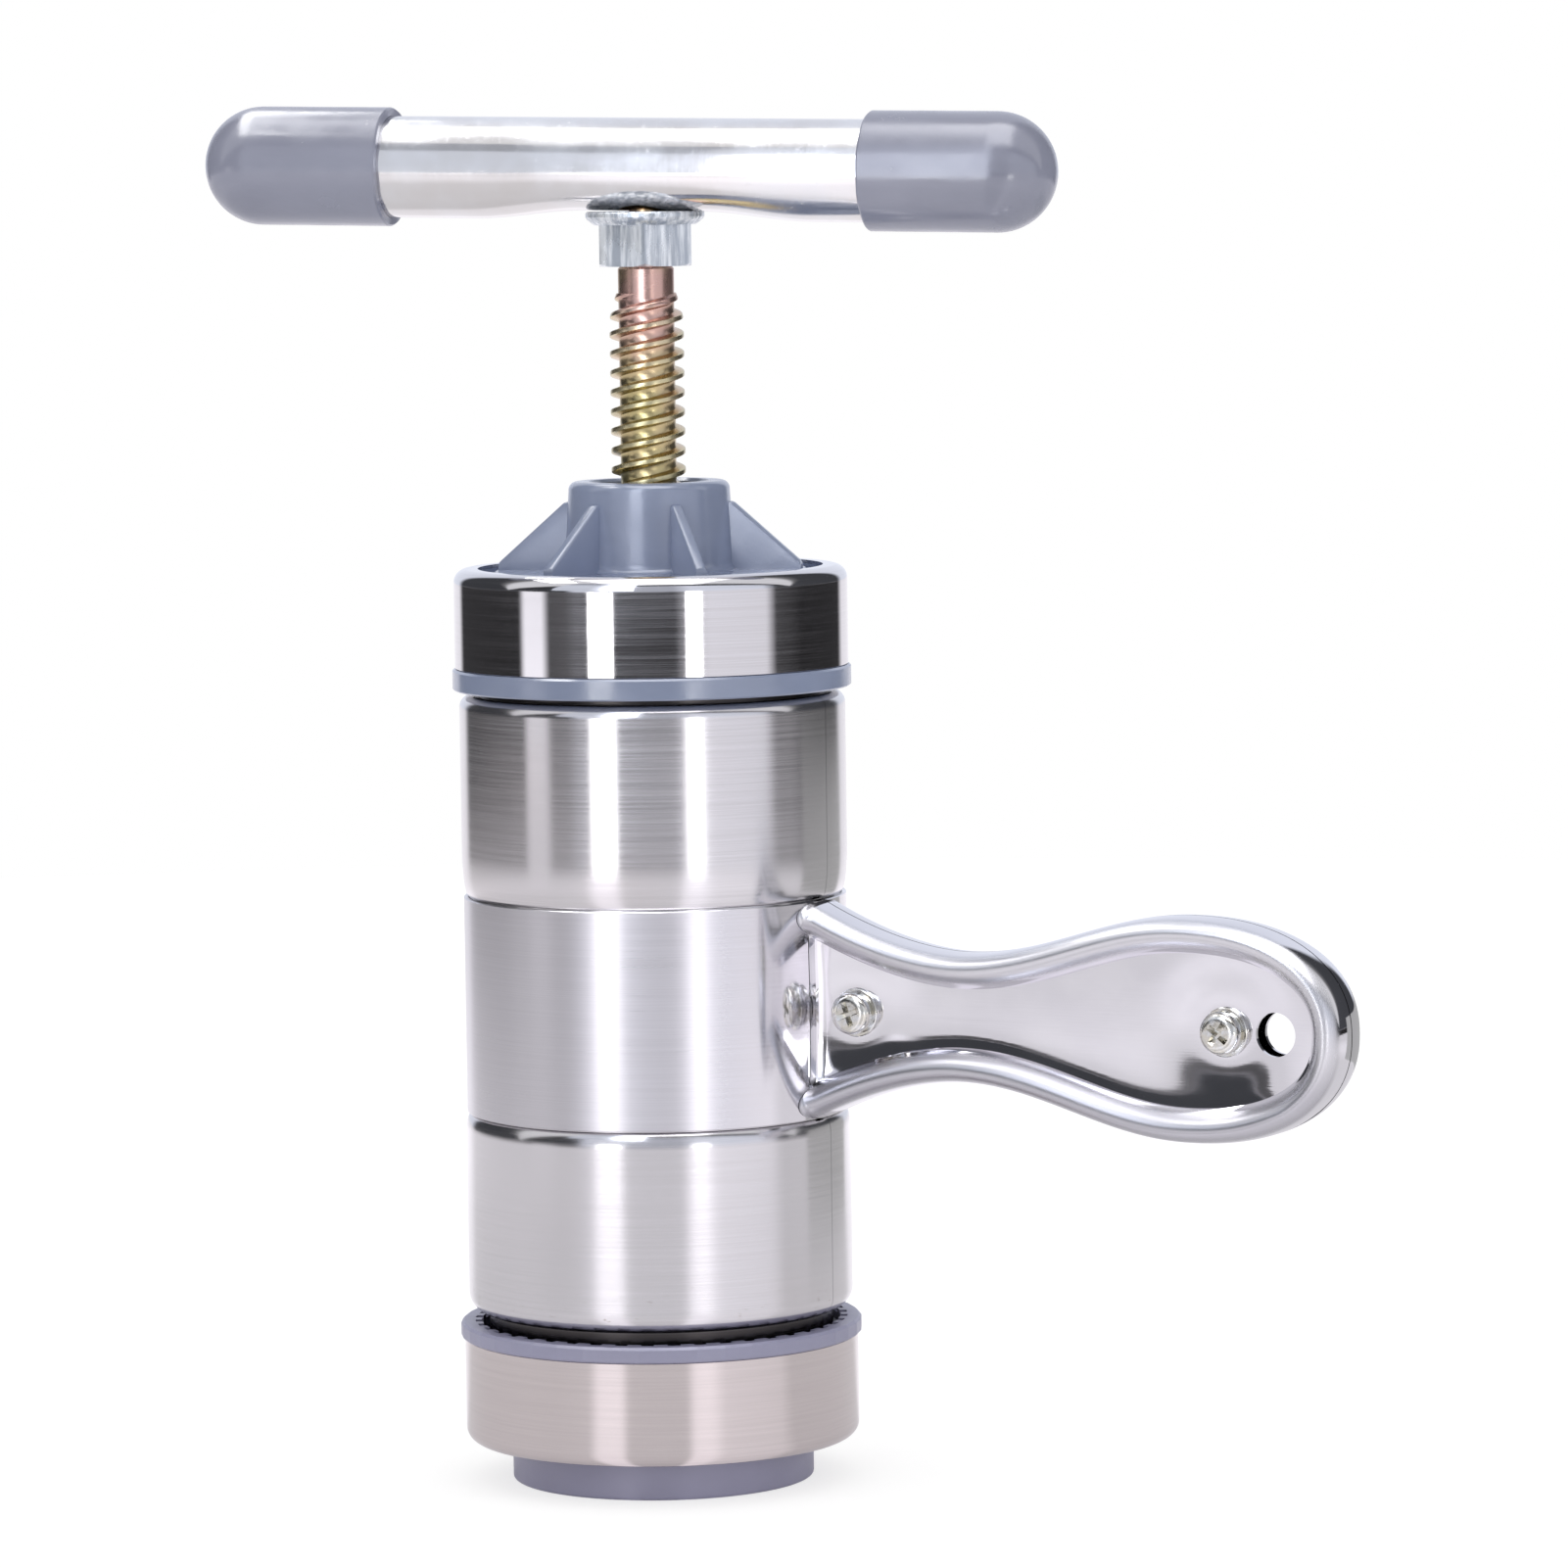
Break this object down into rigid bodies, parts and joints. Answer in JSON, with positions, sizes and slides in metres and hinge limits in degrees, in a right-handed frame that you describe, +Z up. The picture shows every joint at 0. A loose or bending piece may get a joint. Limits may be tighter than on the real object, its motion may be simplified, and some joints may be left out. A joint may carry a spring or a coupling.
{
  "type": "hand screw pasta press",
  "caption": "Hand screw press for pasta: a T-bar screw drives a plate down a steel barrel with a side grip, through a die in a screwed-on cap.",
  "frame": {"origin": "centre of the die's lower face, on the barrel's axis", "axes": "+Z up along the barrel and the screw, +X from the barrel along the side grip, +Y to the back of the grip"},
  "size_m": [0.2284, 0.0756, 0.2587],
  "materials": {
    "bright_steel": "polished stainless sheet and tube",
    "brushed_steel": "stainless, brushed round the axis",
    "warm_brushed_steel": "stainless, satin, brushed round the axis",
    "yellow_zinc": "yellow chromated zinc on steel, with a pink sheen",
    "bright_zinc": "bright zinc plate",
    "cast_aluminium": "turned aluminium",
    "nut_brass": "machined",
    "liner_plastic": "smooth",
    "grey_plastic": "moulded blue-grey, satin",
    "lilac_plastic": "moulded grey with a lilac cast, satin"
  },
  "bodies": {
    "barrel": {"inner_tube": "bright_steel", "jacket": "brushed_steel", "grip_band": "bright_steel", "grip_halves": "bright_steel", "grip_screws": "bright_zinc", "grip_spring_washers": "bright_zinc", "grip_flat_washers": "bright_zinc", "grip_nuts": "bright_zinc"},
    "cap_liner": {"top_cap_liner": "liner_plastic"},
    "top_cap": {"top_cap": "grey_plastic", "top_cap_shell": "brushed_steel", "drive_nut": "nut_brass"},
    "piston": {"press_plate": "cast_aluminium"},
    "crank": {"press_screw": "yellow_zinc", "plate_washer": "bright_zinc", "plate_screw": "bright_zinc", "flange_nut": "bright_zinc", "inner_lock_nut": "bright_zinc", "handle_tube": "bright_steel", "left_bar_cap": "grey_plastic", "right_bar_cap": "grey_plastic"},
    "die": {"die": "lilac_plastic"},
    "bottom_cap": {"bottom_cap": "lilac_plastic", "bottom_cap_shell": "warm_brushed_steel"}
  },
  "joints": [
    {"name": "top_cap_lift", "type": "slide", "parent": "barrel", "child": "cap_liner", "axis": [0, 0, 1], "range_m": [0, 0.00875]},
    {"name": "top_cap_turn", "type": "hinge", "parent": "cap_liner", "child": "top_cap", "pos_m": [0, 0, 0.168], "axis": [0, 0, 1], "range_deg": [0, 900]},
    {"name": "press_feed", "type": "slide", "parent": "top_cap", "child": "piston", "axis": [0, 0, 1], "range_m": [-0.0395, 0.1]},
    {"name": "crank_turn", "type": "hinge", "parent": "piston", "child": "crank", "pos_m": [0, 0, 0.2], "axis": [0, 0, 1], "range_deg": [-1975, 5000]},
    {"name": "die_drop", "type": "slide", "parent": "barrel", "child": "die", "axis": [0, 0, 1], "range_m": [-0.00875, 0]},
    {"name": "bottom_cap_turn", "type": "hinge", "parent": "die", "child": "bottom_cap", "pos_m": [0, 0, 0.02], "axis": [0, 0, 1], "range_deg": [-900, 0]}
  ],
  "couplings": [
    {"joint": "top_cap_lift", "follows": "top_cap_turn", "m_per_rad": 0.00055704},
    {"joint": "press_feed", "follows": "crank_turn", "m_per_rad": 0.0011459},
    {"joint": "die_drop", "follows": "bottom_cap_turn", "m_per_rad": 0.00055704}
  ]
}
